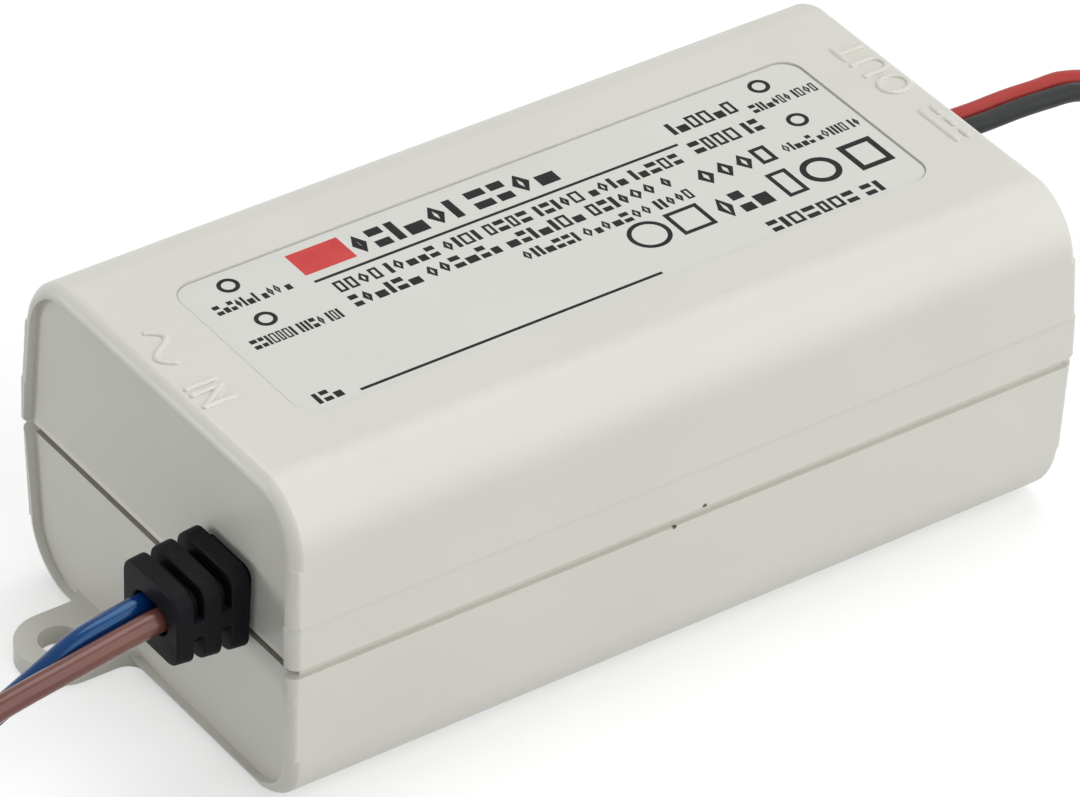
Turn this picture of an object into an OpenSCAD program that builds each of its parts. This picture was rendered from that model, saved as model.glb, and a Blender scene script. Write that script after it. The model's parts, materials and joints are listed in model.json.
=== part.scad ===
// Small plastic-cased LED driver: two-part case with a lead pair at each end,
// and the switching circuit on one board inside. Millimetres, Z up, base on Z = 0.

/* [Case] */
// Length of the case at the seam, along X
case_length = 77; // [74:0.5:82]
// Width of the case at the seam, along Y
case_width = 40.5; // [39.5:0.5:46]
// Height from the base to the top
case_height = 30.8; // [30:0.2:34]
// Height of the seam between the two shells
seam_height = 15.4; // [15:0.1:16.4]
// Wall thickness of both shells
wall = 1.6; // [1.2:0.1:1.8]
// How far the upper walls lean in by the top
draft_top = 0.65; // [0.3:0.05:0.9]
// How far the lower walls lean in by the base
draft_base = 0.55; // [0.3:0.05:0.8]
// Radius along the long top edges
top_radius = 5.9; // [4:0.1:7]
// Radius along the long bottom edges
base_radius = 6.1; // [4:0.1:7]
// Radius along the short top and bottom edges
end_radius = 1.4; // [1.2:0.1:1.6]
// Radius of the upright corners at the seam
corner_radius = 1.4; // [1.2:0.1:2]
// Chamfer on the rim of the upper shell
rim_chamfer = 0.3; // [0.1:0.05:0.4]
// How far the lower shell's long sides stand in from the band above them
lower_inset = 0.3; // [0.1:0.05:0.4]
// Height of the groove under the upper rim
groove_height = 0.75; // [0.4:0.05:1]
// Depth of the groove from the lower shell's face
groove_depth = 0.45; // [0.2:0.05:0.5]
// Height of the thicker band above the seam
skirt_height = 4; // [3:0.25:6]
// How far the band stands out from the wall
skirt_step = 0.1; // [0.1:0.05:0.3]
// Play between the locating lip and the upper shell
lip_play = 0.15; // [0.1:0.05:0.25]
// Height of the locating lip above the seam
lip_height = 1.5; // [1:0.25:2.5]
// Thickness of the locating lip
lip_thickness = 0.9; // [0.6:0.1:1.2]

/* [End panels] */
// Width of the rim round each sunk end panel
panel_rim = 1.1; // [1.1:0.1:1.6]
// Depth of the sunk end panels
panel_depth = 0.7; // [0.3:0.1:0.8]

/* [Label] */
// Distance of the label panel from each end of the case
label_end = 8; // [6:0.25:14]
// Distance of the label panel from each side of the case
label_side = 10.15; // [8:0.05:12]
// Corner radius of the label panel
label_corner = 2; // [1:0.25:3]
// Depth of the label panel
label_recess = 0.3; // [0.2:0.05:0.5]
// Thickness of the label
label_thickness = 0.15; // [0.1:0.05:0.2]
// Play round the label
label_play = 0.15; // [0.05:0.05:0.3]

/* [Mounting ears] */
// Radius of the rounded ear
ear_radius = 3.75; // [3.4:0.05:4.4]
// Thickness of the ear
ear_thickness = 1.8; // [1.5:0.1:2.4]
// Distance of the screw hole from the end of the case
ear_reach = 3.5; // [3:0.1:5]
// Distance of the screw hole from the side of the case
ear_side = 11.95; // [11.5:0.05:16]
// Diameter of the screw hole
ear_hole = 3.6; // [3.2:0.1:4.2]
// Radius where the ear runs into the case
ear_fillet = 1.7; // [1:0.1:2]

/* [Lead bushings] */
// Distance of the bushing's middle from the side of the case
bush_side = 10.3; // [9.9:0.05:12]
// How far the bushing's ribs reach below the seam
bush_sink = 1.7; // [1.5:0.05:2]
// Width of the bushing at the case
bush_w = 8.1; // [7.8:0.1:8.4]
// Height of the bushing at the case
bush_h = 8; // [7.6:0.1:8.4]
// Width of the bushing at its front
front_w = 7.8; // [7.4:0.1:8]
// Height of the bushing at its front
front_h = 6.7; // [6.4:0.1:7.4]
// Length of the ribbed part
bush_length = 6.6; // [6:0.1:8]
// Gap between the sunk panel and the first rib
bush_gap = 0.5; // [0.3:0.1:0.8]
// Corner radius of the bushing's section
bush_corner = 1.5; // [0.8:0.1:2]
// Width of each flexing slot
slot_width = 0.9; // [0.6:0.05:1.1]
// Depth of each flexing slot at the front
slot_depth = 1; // [0.6:0.05:1]
// Height of the web that joins the ribs at the sides
slot_web = 1.5; // [1:0.1:2]
// Thickness of the flange inside the wall
flange_thickness = 1.4; // [1:0.1:2]
// How much narrower the neck in the wall is, each side
neck_step = 1; // [0.7:0.05:1.2]
// Play of the neck in its slot
neck_play = 0.1; // [0.05:0.05:0.2]
// Depth of the oval mouth round the leads
mouth_depth = 1.2; // [0.8:0.1:1.4]
// Room round the leads in the mouth
mouth_room = 0.25; // [0.15:0.05:0.5]

/* [Leads] */
// Diameter of each input lead
lead_d = 2; // [1.75:0.05:2.05]
// Diameter of each output lead
output_lead_d = 1.7; // [1.5:0.05:2.05]
// Distance between the two leads in the bushing
lead_pitch = 2.3; // [2.25:0.05:2.6]
// Play of a lead in its hole
lead_play = 0.1; // [0.05:0.05:0.15]
// Gap between the two leads outside
lead_gap = 0.1; // [0.05:0.05:0.4]
// Diameter of the tinned end
tip_d = 1.1; // [0.8:0.05:1.4]
// Length of the tinned end
tip_length = 6; // [4:0.5:10]

/* [Circuit board] */
// Room between the board and the walls
board_play = 0.6; // [0.4:0.1:1]
// Thickness of the board
board_thickness = 1.6; // [1:0.1:1.8]
// Height of the board's underside above the base
board_height = 4.8; // [4.4:0.1:5.4]
// Diameter of each post under the board
post_d = 4.4; // [3.6:0.1:5]
// Diameter of each pin through the board
pin_d = 2; // [1.6:0.1:2.4]
// Play of a pin in the board
pin_play = 0.15; // [0.1:0.05:0.25]

/* [Transformer] */
// Width of the ferrite core
core_width = 19.4; // [18.4:0.2:20]
// Height of the ferrite core
core_height = 16; // [15:0.2:16.6]
// Depth of the ferrite core
core_depth = 5; // [4.6:0.1:5.6]
// Width of the middle leg
core_leg = 4.8; // [4.4:0.1:5.2]
// Thickness of the outer legs and the yokes
core_yoke = 2.5; // [2.2:0.1:2.8]
// Thickness of the bobbin walls
bobbin_wall = 0.9; // [0.7:0.05:1.1]
// How far the bobbin reaches out from the core on each side
coil_reach = 5.5; // [4.6:0.1:5.6]
// Width of the bobbin's two feet
bobbin_foot = 3; // [2:0.1:3.2]

/* [Capacitors] */
// Diameter of each input capacitor
bulk_d = 10; // [8:0.5:10.5]
// Height of each input capacitor
bulk_h = 17; // [12:0.5:20]
// Diameter of each output capacitor
out_d = 8; // [6.3:0.1:8.4]
// Height of each output capacitor
out_h = 15; // [10:0.5:19]

/* [Small parts] */
// Length of the film capacitor
film_l = 13; // [10:0.5:13]
// Thickness of the film capacitor
film_t = 5; // [4:0.25:5]
// Height of the film capacitor
film_h = 11; // [9:0.5:14]
// Diameter of the fusible resistor
fuse_d = 3.8; // [3:0.1:4]
// Length of the fusible resistor
fuse_l = 8; // [6:0.25:8.5]
// Diameter of the varistor
varistor_d = 7; // [5:0.5:7]
// Diameter of the safety capacitor
safety_d = 8; // [6:0.5:9]
// Diameter of the filter choke
choke_d = 8; // [6:0.25:8]
// Height of the filter choke
choke_h = 10; // [8:0.5:14]
// Diameter of the output choke
ripple_d = 7; // [5:0.25:7.5]
// Height of the output choke
ripple_h = 9; // [6:0.5:12]
// Width of the chips' bodies
chip_w = 6.4; // [5.6:0.1:6.4]
// Height of the chips' bodies
chip_h = 3.3; // [2.6:0.1:3.6]
// Distance between the chips' legs
leg_pitch = 2.54; // [2.2:0.02:2.54]
// Diameter of the output diode
diode_d = 5.2; // [4:0.1:5.4]
// Length of the output diode
diode_l = 9; // [7:0.25:9.5]
// Diameter of the small resistors
resistor_d = 2.3; // [1.6:0.1:2.3]
// Length of the small resistors
resistor_l = 4.6; // [3.4:0.1:4.8]

/* [Hidden] */
$fn = 96;

half_l = case_length / 2;
half_w = case_width / 2;
low_w = half_w - lower_inset;
end_wall = wall + panel_depth;
label_length = case_length - 2 * label_end;
label_width = case_width - 2 * label_side;
ear_offset = half_w - ear_side;
bush_offset = half_w - bush_side;
bush_height = seam_height + bush_h / 2 - bush_sink;
panel_x = half_l - panel_depth;
board_top = board_height + board_thickness;
roof = case_height - label_recess - wall;
// How far the rounds stand past the flat faces, so that they meet at a clean edge
edge_past = 0.01;
corner_past = 0.06;

// Bushing stations along X, from the panel outwards
bush_back = panel_x + bush_gap;
bush_front = bush_back + bush_length;
rib = (bush_length - 2 * slot_width) / 3;
neck_w = bush_w - 2 * neck_step;
neck_top = bush_height + bush_h / 2 - neck_step;
flange_x = half_l - end_wall - flange_thickness - draft_top;

// Board that fits the rounded inside of the lower case at its own height
inner_round = base_radius - wall;
below_round = max(0, base_radius - board_height);
board_length = 2 * (half_l - end_wall - draft_base - board_play);
board_width = 2 * (low_w - draft_base - base_radius - board_play
    + sqrt(inner_round * inner_round - below_round * below_round));

// Post places on the board
post_x = board_length / 2 - 3.5;
post_y = board_width / 2 - 2.8;

// Lead routes: distance out from the bushing's mouth, distance across from the
// bushing's middle, then the height of each lead as a share of the mouth's height
inner_drop = [[-17, 0, 0], [-17, 0, 0.55], [-15.2, 0, 0.92], [-12.5, 0, 1], [-6, 0, 1]];
reach_more = lead_d - output_lead_d;
function turn(more) = [[52, 8, 0, 0], [57 + more, 15, 0, 0], [57 + more, 23, 0, 0],
    [52 + more, 30 + more, 0, 0], [44, 33 + more, 0, 0], [24, 33 + more, 0, 0], [10, 33 + more, 0, 0]];
input_route = concat([[0, 0, 1, 1], [3, 0, 0.98, 0.97], [6, 0, 0.94, 0.94], [9, 0, 0.85, 0.91],
    [12, 0, 0.76, 0.88], [15, 0, 0.67, 0.84], [20, 0, 0.51, 0.72], [26, 0, 0.31, 0.49], [32, 0, 0.13, 0.24],
    [38, 1, 0.02, 0.06], [45, 3.5, 0, 0]], turn(0));
output_route = concat([[0, 0, 1, 1], [3, 0, 0.98, 0.98], [6, 0, 0.97, 0.97], [10, 0, 0.97, 0.97],
    [13, 0, 0.96, 0.96], [16, 0, 0.94, 0.95], [20, 0, 0.84, 0.86], [26, 0, 0.56, 0.58], [32, 0, 0.26, 0.27],
    [38, 1, 0.06, 0.06], [45, 3.5, 0, 0]], turn(reach_more));

ivory = [0.86, 0.86, 0.83];
rubber = [0.1, 0.1, 0.11];
silver = [0.75, 0.75, 0.76];
black = [0.12, 0.12, 0.13];

// Extrudes a YZ outline along X
module along_x(length) {
    rotate([90, 0, 90])
        linear_extrude(height = length, center = true)
            children();
}

// Extrudes an XZ outline along Y
module along_y(length) {
    rotate([90, 0, 0])
        linear_extrude(height = length, center = true)
            children();
}

// Outward normal of a side line that runs from the seam to a flat face
function side_normal(a, b) =
    let (v = (b - a) / norm(b - a), s = sign(v[1]))
    [s * v[1], -s * v[0]];

// Middle of the round that touches the side line and the flat face
function round_middle(a, b, r) =
    let (n = side_normal(a, b), z = b[1] - sign(b[1] - a[1]) * r)
    [a[0] - (r + (z - a[1]) * n[1]) / n[0], z];

// Half-outline with a rounded corner, mirrored to a whole outline
module shell_outline(rim, a, b, r) {
    c = round_middle(a, b, r);
    t = c + r * side_normal(a, b);
    right = concat(rim, [a, t, [c[0], b[1]]]);
    left = [for (i = [len(right) - 1:-1:0]) [-right[i][0], right[i][1]]];
    polygon(concat(right, left));
    for (m = [-1, 1])
        translate([m * c[0], c[1]])
            circle(r + edge_past);
}

// Wall of the upper shell from the seam up: rim chamfer, band, then leaning wall
function upper_wall(half) =
    let (band = seam_height + skirt_height)
    [[half - rim_chamfer, seam_height], [half, seam_height + rim_chamfer], [half - 0.05, band],
        [half - 0.05 - skirt_step, band + skirt_step],
        [half - draft_top - skirt_step, case_height]];

// Wall of the lower shell from the seam down
function lower_wall(half) = [[half, seam_height], [half, seam_height - groove_height],
    [half - draft_base, 0]];

// Outline of a shell with the given wall and a round at its far edge
module walled_outline(line, r) {
    n = len(line);
    shell_outline([for (i = [0:n - 3]) line[i]], line[n - 2], line[n - 1], r);
}

// Cuts that round the four upright corners, following the wall's lean
module corner_cuts(line, w) {
    r = corner_radius;
    ends = [line[0], line[len(line) - 1]];
    past = 2 * sign(ends[1][1] - ends[0][1]);
    low = min(ends[0][1], ends[1][1]) - 1;
    high = max(ends[0][1], ends[1][1]) + 1;
    for (x = [-1, 1], y = [-1, 1])
        translate([x * (half_l - r + corner_past), y * (w - r + corner_past), 0])
            difference() {
                translate([x > 0 ? 0 : -r - 1, y > 0 ? 0 : -r - 1, low])
                    cube([r + 1, r + 1, high - low]);
                rotate_extrude()
                    polygon(concat([[0, ends[0][1] - past], [ends[0][0], ends[0][1] - past]], line,
                        [[ends[1][0], ends[1][1] + past], [0, ends[1][1] + past]]));
            }
}

// Cuts that carry the short edges' round along the ends of the four long rounds
module arc_cuts(end_line, side_line, r) {
    n = len(end_line);
    m = len(side_line);
    face = side_normal(end_line[n - 2], end_line[n - 1]);
    lean = atan2(face[1], face[0]);
    up = sign(end_line[n - 1][1] - end_line[n - 2][1]);
    tube = round_middle(end_line[n - 2], end_line[n - 1], end_radius);
    middle = round_middle(side_line[m - 2], side_line[m - 1], r);
    arm = r - end_radius;
    place = [tube[0] + up * face[1] * arm, tube[1] - up * face[0] * arm];
    past = corner_past;
    room = r + 1;
    for (x = [-1, 1], y = [-1, 1])
        translate([x * place[0], y * middle[0], place[1]])
            rotate([0, x * (90 - lean), 0])
                difference() {
                    translate([x * up > 0 ? -room : 0, y > 0 ? 0 : -room, 0])
                        cube([room, room, end_radius + 1]);
                    rotate_extrude()
                        translate([0, -1]) {
                            square([arm + past, end_radius + past + 1]);
                            square([r + past, past + 1]);
                            translate([arm + past, past + 1])
                                circle(end_radius);
                        }
                }
}

// Plain outline sunk by an inset, from a little past the seam to the flat face
module sunk_upper(half, r, inset) {
    shell_outline([[half - skirt_step - inset, seam_height - 1]],
        [half - skirt_step - inset, seam_height],
        [half - draft_top - skirt_step - inset, case_height - inset], r);
}

module sunk_lower(half, r, inset) {
    shell_outline([[half - inset, seam_height + 1]], [half - inset, seam_height],
        [half - draft_base - inset, inset], r);
}

// Rounded rectangle made of squares and circles
module round_rect(l, w, r) {
    square([l - 2 * r, w], center = true);
    square([l, w - 2 * r], center = true);
    for (x = [-1, 1], y = [-1, 1])
        translate([x * (l / 2 - r), y * (w / 2 - r)])
            circle(r);
}

// Repeats at the input end and, turned half round, at the output end
module both_ends() {
    for (a = [0, 180])
        rotate([0, 0, a])
            children();
}

// Sunk panels in the ends of the upper shell
module upper_panels() {
    difference() {
        along_x(case_length + 4)
            sunk_upper(half_w, top_radius - panel_rim, panel_rim);
        along_y(case_width)
            sunk_upper(panel_x + skirt_step, end_radius, 0);
    }
}

module lower_panels() {
    difference() {
        along_x(case_length + 4)
            sunk_lower(low_w, base_radius - panel_rim, panel_rim);
        along_y(case_width)
            sunk_lower(panel_x, end_radius, 0);
    }
}

// Neck outline of a bushing, in YZ about the bushing's middle
module neck_outline(play) {
    top = neck_top + play;
    half = neck_w / 2 + play;
    translate([-half, seam_height])
        square([2 * half, top - 1 - seam_height]);
    translate([1 - half, seam_height])
        square([2 * half - 2, top - seam_height]);
    for (m = [-1, 1])
        translate([m * (half - 1), top - 1])
            circle(1);
}

module upper_cover() {
    color(ivory)
        difference() {
            intersection() {
                along_x(case_length + 2)
                    walled_outline(upper_wall(half_w), top_radius);
                along_y(case_width + 2)
                    walled_outline(upper_wall(half_l), end_radius);
            }
            intersection() {
                along_x(case_length)
                    sunk_upper(half_w, top_radius - wall, wall);
                along_y(case_width)
                    sunk_upper(half_l, end_radius / 2, end_wall);
                translate([0, 0, roof / 2])
                    cube([case_length, case_width, roof], center = true);
            }
            upper_panels();
            corner_cuts(upper_wall(corner_radius), half_w);
            arc_cuts(upper_wall(half_l), upper_wall(half_w), top_radius);
            translate([0, 0, case_height - label_recess])
                linear_extrude(height = 2)
                    round_rect(label_length, label_width, label_corner);
            both_ends()
                translate([-half_l, -bush_offset, 0])
                    along_x(3 * end_wall)
                        neck_outline(neck_play);
        }
}

// Ring that guides the upper shell, between two insets
module lip_ring(z0, z1, outside, inside) {
    translate([0, 0, z0])
        linear_extrude(height = z1 - z0)
            difference() {
                square([2 * (half_l - panel_depth - outside), 2 * (half_w - outside)], center = true);
                square([2 * (half_l - panel_depth - inside), 2 * (half_w - inside)], center = true);
            }
}

// Groove round the rim of the lower shell, under the upper rim
module seam_groove() {
    translate([0, 0, seam_height - groove_height])
        linear_extrude(height = groove_height + 1)
            difference() {
                square([case_length + 4, case_width + 4], center = true);
                square([2 * (half_l - panel_depth - groove_depth), 2 * (low_w - groove_depth)], center = true);
            }
}

// Plan of a mounting ear with its rounded roots
module ear_outline() {
    x = half_l + ear_reach;
    root = half_l - draft_base - panel_depth;
    translate([-x, ear_offset])
        circle(ear_radius);
    translate([-x, ear_offset - ear_radius])
        square([ear_reach + 1.5, 2 * ear_radius]);
    difference() {
        translate([-root - ear_fillet, ear_offset - ear_radius - ear_fillet])
            square([ear_fillet + 0.4, 2 * (ear_radius + ear_fillet)]);
        for (m = [-1, 1])
            translate([-root - ear_fillet, ear_offset + m * (ear_radius + ear_fillet)])
                circle(ear_fillet);
    }
}

module lower_case() {
    inside = wall + skirt_step + lip_play + lip_thickness;
    color(ivory)
        difference() {
            union() {
                difference() {
                    intersection() {
                        along_x(case_length + 2)
                            walled_outline(lower_wall(low_w), base_radius);
                        along_y(case_width + 2)
                            walled_outline(lower_wall(half_l), end_radius);
                    }
                    intersection() {
                        along_x(case_length)
                            sunk_lower(low_w, base_radius - wall, wall);
                        along_y(case_width)
                            sunk_lower(half_l, end_radius / 2, end_wall);
                    }
                    lower_panels();
                    corner_cuts(lower_wall(corner_radius), low_w);
                    arc_cuts(lower_wall(half_l), lower_wall(low_w), base_radius);
                    seam_groove();
                }
                lip_ring(seam_height - 2, seam_height, wall - 0.3, inside);
                lip_ring(seam_height - 2, seam_height + lip_height,
                    wall + skirt_step + lip_play, inside);
                for (x = [-1, 1], y = [-1, 1])
                    translate([x * post_x, y * post_y, wall / 2]) {
                        cylinder(d = post_d, h = board_height - wall / 2);
                        cylinder(d = pin_d, h = board_top + 0.5 - wall / 2);
                    }
                both_ends()
                    linear_extrude(height = ear_thickness)
                        ear_outline();
            }
            both_ends() {
                translate([-half_l - ear_reach, ear_offset, -1])
                    cylinder(d = ear_hole, h = ear_thickness + 2);
                translate([-half_l + end_wall, -bush_offset, seam_height + lip_height])
                    cube([4 * end_wall, bush_w + neck_step, 2 * lip_height], center = true);
            }
        }
}

module rating_label() {
    color([0.87, 0.87, 0.84])
        translate([0, 0, case_height - label_recess])
            linear_extrude(height = label_thickness)
                round_rect(label_length - 2 * label_play, label_width - 2 * label_play,
                    label_corner - label_play);
}

// Upper or lower half of one flexing slot round the bushing's core
module slot(up) {
    core_w = front_w - 2 * slot_depth;
    core_h = front_h - 2 * slot_depth;
    difference() {
        translate([0, 0, up * (slot_web + bush_h) / 2])
            cube([slot_width, bush_w + 1, bush_h], center = true);
        along_x(slot_width + 1)
            round_rect(core_w, core_h, bush_corner / 2);
    }
}

// Points round a rounded rectangle in YZ at a place along X
function section(x, w, h, r, n = 8) = [for (q = [0:3], k = [0:n])
    let (a = 90 * (q + k / n), y = q == 0 || q == 3 ? 1 : -1, z = q < 2 ? 1 : -1)
    [x, y * (w / 2 - r) + r * cos(a), z * (h / 2 - r) + r * sin(a)]];

// Ribbed part before it is slotted: one rounded section runs straight to another
module tapered() {
    points = concat(section(-bush_front, front_w, front_h, bush_corner),
        section(-bush_back, bush_w, bush_h, bush_corner));
    n = len(points) / 2;
    walls = [for (k = [0:n - 1])
        let (m = (k + 1) % n)
        [m, k, n + k, n + m]];
    first = [for (k = [0:n - 1]) k];
    last = [for (k = [n - 1:-1:0]) n + k];
    polyhedron(points, concat(walls, [first, last]), convexity = 4);
}

// Bushing at the input end for leads of the given diameter
module bushing(d) {
    mouth = d + 2 * mouth_room;
    neck_front = bush_back + rib / 2;
    difference() {
        union() {
            translate([0, -bush_offset, bush_height])
                tapered();
            translate([-(neck_front + flange_x) / 2, -bush_offset, 0])
                along_x(neck_front - flange_x)
                    neck_outline(0);
            translate([-flange_x - flange_thickness / 2, -bush_offset, 0])
                along_x(flange_thickness)
                    neck_outline(neck_step - 0.2);
        }
        for (i = [1, 2], up = [-1, 1])
            translate([-bush_back - i * rib - (i - 0.5) * slot_width, -bush_offset, bush_height])
                slot(up);
        translate([-bush_front, -bush_offset, bush_height])
            along_x(2 * mouth_depth) {
                square([lead_pitch, mouth], center = true);
                for (m = [-1, 1])
                    translate([m * lead_pitch / 2, 0])
                        circle(d = mouth);
            }
        for (m = [-1, 1])
            translate([-panel_x, -bush_offset + m * lead_pitch / 2, bush_height])
                along_x(4 * bush_length)
                    circle(d = d + lead_play);
    }
}

module input_bushing() {
    color(rubber)
        bushing(lead_d);
}

module output_bushing() {
    color(rubber)
        rotate([0, 0, 180])
            bushing(output_lead_d);
}

// Whole middle line of one lead: side is 1 for the far lead and -1 for the near one
function lead_line(route, side, d) =
    let (low = d / 2, col = side > 0 ? 2 : 3,
        inner = [for (p = inner_drop) [-bush_front - p[0], -bush_offset + side * lead_pitch / 2,
            board_top + p[2] * (bush_height - board_top)]],
        plan = [for (p = route) [-bush_front - p[0], -bush_offset + p[1]]],
        outer = [for (i = [0:len(route) - 1])
            let (a = plan[max(i - 1, 0)], b = plan[min(i + 1, len(route) - 1)],
                v = (b - a) / norm(b - a), n = [v[1], -v[0]],
                off = side * (i == 0 ? lead_pitch : d + lead_gap) / 2)
            [plan[i][0] + off * n[0], plan[i][1] + off * n[1],
                low + route[i][col] * (bush_height - low)]])
    concat(inner, outer);

function unit(v) = v / norm(v);

// Direction of a line at each of its points
function along(line) = [for (i = [0:len(line) - 1])
    unit(line[min(i + 1, len(line) - 1)] - line[max(i - 1, 0)])];

// Side vectors carried along the line without twist
function carried(dirs, i, v) =
    let (w = unit(v - (v * dirs[i]) * dirs[i]))
    i == len(dirs) - 1 ? [w] : concat([w], carried(dirs, i + 1, w));

// Round tube along a line, as one solid
module tube(line, d, sides = 8) {
    dirs = along(line);
    side = carried(dirs, 0, [0, 1, 0]);
    n = len(line);
    points = [for (i = [0:n - 1], k = [0:sides - 1])
        line[i] + d / 2 * (cos(360 * k / sides) * side[i]
            + sin(360 * k / sides) * cross(dirs[i], side[i]))];
    walls = [for (i = [0:n - 2], k = [0:sides - 1])
        let (m = (k + 1) % sides)
        [i * sides + m, i * sides + k, (i + 1) * sides + k, (i + 1) * sides + m]];
    first = [for (k = [0:sides - 1]) k];
    last = [for (k = [sides - 1:-1:0]) (n - 1) * sides + k];
    polyhedron(points, concat(walls, [first, last]), convexity = 6);
}

module lead_blue() {
    color([0.12, 0.3, 0.68])
        tube(lead_line(input_route, 1, lead_d), lead_d);
}

module lead_brown() {
    color([0.45, 0.27, 0.24])
        tube(lead_line(input_route, -1, lead_d), lead_d);
}

module lead_black() {
    color([0.2, 0.2, 0.21])
        rotate([0, 0, 180])
            tube(lead_line(output_route, 1, output_lead_d), output_lead_d);
}

module lead_red() {
    color([0.72, 0.2, 0.2])
        rotate([0, 0, 180])
            tube(lead_line(output_route, -1, output_lead_d), output_lead_d);
}

// Tinned end that carries on from the last point of a lead
module tip(line) {
    n = len(line);
    translate(line[n - 1] + [tip_length / 2, 0, 0])
        rotate([0, 90, 0])
            cylinder(d = tip_d, h = tip_length, center = true, $fn = 24);
}

module tip_blue() {
    color(silver)
        tip(lead_line(input_route, 1, lead_d));
}

module tip_brown() {
    color(silver)
        tip(lead_line(input_route, -1, lead_d));
}

module tip_black() {
    color(silver)
        rotate([0, 0, 180])
            tip(lead_line(output_route, 1, output_lead_d));
}

module tip_red() {
    color(silver)
        rotate([0, 0, 180])
            tip(lead_line(output_route, -1, output_lead_d));
}

module circuit_board() {
    color([0.55, 0.62, 0.35])
        difference() {
            translate([0, 0, board_height])
                linear_extrude(height = board_thickness)
                    square([board_length, board_width], center = true);
            for (x = [-1, 1], y = [-1, 1])
                translate([x * post_x, y * post_y, board_height - 1])
                    cylinder(d = pin_d + 2 * pin_play, h = board_thickness + 2, $fn = 32);
        }
}

// Places children on the top of the board, at shares of its half-length and half-width
module on_board(share_x, share_y, turned = 0) {
    translate([share_x * board_length / 2, share_y * board_width / 2, board_top])
        rotate([0, 0, turned])
            children();
}

// Axial part lying on the board, with two bent wire legs
module axial(d, l, leg) {
    span = l + 3 * leg + 1;
    translate([0, 0, d / 2]) {
        rotate([0, 90, 0])
            cylinder(d = d, h = l, center = true, $fn = 32);
        rotate([0, 90, 0])
            cylinder(d = leg, h = span, center = true, $fn = 16);
        for (m = [-1, 1])
            translate([m * (span - leg) / 2, 0, -d / 2])
                cylinder(d = leg, h = d / 2, $fn = 16);
    }
}

// Body of a chip with two rows of legs
module chip(legs) {
    l = legs * leg_pitch;
    stand = chip_h / 6;
    translate([-l / 2, -chip_w / 2, stand])
        cube([l, chip_w, chip_h]);
    for (i = [0:legs - 1], m = [-1, 1])
        translate([(i - (legs - 1) / 2) * leg_pitch, m * (chip_w / 2 + stand / 2), chip_h / 3])
            cube([leg_pitch / 5, 2 * stand, 2 * chip_h / 3], center = true);
}

// Can capacitor with a pressed groove and a ring of sleeve on its top
module can(d, h) {
    r = d / 2;
    rotate_extrude()
        polygon([[0, 0], [r, 0], [r, 1.6], [r - 0.35, 2], [r, 2.4], [r, h - 0.4],
            [r - 0.4, h], [r - 1.2, h], [r - 1.3, h - 0.2], [0, h - 0.2]]);
}

// Disc part standing on two legs
module disc(d) {
    lift = d / 4;
    translate([0, 0, lift + d / 2])
        rotate([90, 0, 0])
            cylinder(d = d, h = d / 2, center = true, $fn = 64);
    for (m = [-1, 1])
        translate([m * d / 4, 0, 0])
            cylinder(d = d / 10, h = lift + d / 4, $fn = 16);
}

// Drum core with two flanges
module drum(d, h) {
    r = d / 2;
    edge = h / 8;
    rotate_extrude()
        polygon([[0, 0], [r, 0], [r, edge], [r / 2, edge], [r / 2, h - edge], [r, h - edge], [r, h], [0, h]]);
}

module fuse_resistor() {
    color([0.35, 0.55, 0.5])
        on_board(-0.87, -0.17, 90)
            axial(fuse_d, fuse_l, 0.7);
}

module varistor() {
    color([0.16, 0.35, 0.62])
        on_board(-0.9, 0.56, 90)
            disc(varistor_d);
}

module film_capacitor() {
    color([0.85, 0.75, 0.3])
        on_board(-0.735, 0.57, 90)
            translate([-film_l / 2, -film_t / 2, 0])
                cube([film_l, film_t, film_h]);
}

module choke_core() {
    color(black)
        on_board(-0.67, -0.15)
            drum(choke_d, choke_h);
}

// Winding that fills the drum's waist to a little short of its flanges
module choke_winding() {
    edge = choke_h / 8;
    color([0.72, 0.4, 0.2])
        on_board(-0.67, -0.15)
            rotate_extrude()
                translate([choke_d / 4, edge])
                    square([0.2 * choke_d, choke_h - 2 * edge]);
}

module bridge_rectifier() {
    color(black)
        on_board(-0.52, -0.72)
            chip(2);
}

module bulk_capacitors() {
    color([0.14, 0.16, 0.2])
        for (y = [-0.05, 0.65])
            on_board(-0.38, y)
                can(bulk_d, bulk_h);
}

module controller_chip() {
    color(black)
        on_board(-0.25, -0.72)
            chip(4);
}

// Transformer stations above the board
core_z = core_height / 10;
core_place = 0.115;
window = (core_width - core_leg) / 2 - core_yoke;
sleeve = 0.15;
coil_low = core_z + core_yoke + sleeve;
coil_high = core_z + core_height - core_yoke - sleeve;
flange_y = core_leg + 2 * window - 3 * sleeve;
flange_half = core_depth / 2 + coil_reach;
tube_x = core_depth + 2 * sleeve + 2 * bobbin_wall;
tube_y = core_leg + 2 * sleeve + 2 * bobbin_wall;

module transformer_core() {
    color([0.2, 0.2, 0.21])
        on_board(core_place, 0)
            translate([0, 0, core_z])
                along_x(core_depth)
                    difference() {
                        translate([-core_width / 2, 0])
                            square([core_width, core_height]);
                        for (m = [-1, 1])
                            translate([m * (core_leg + window) / 2, core_height / 2])
                                square([window, core_height - 2 * core_yoke], center = true);
                    }
}

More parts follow.
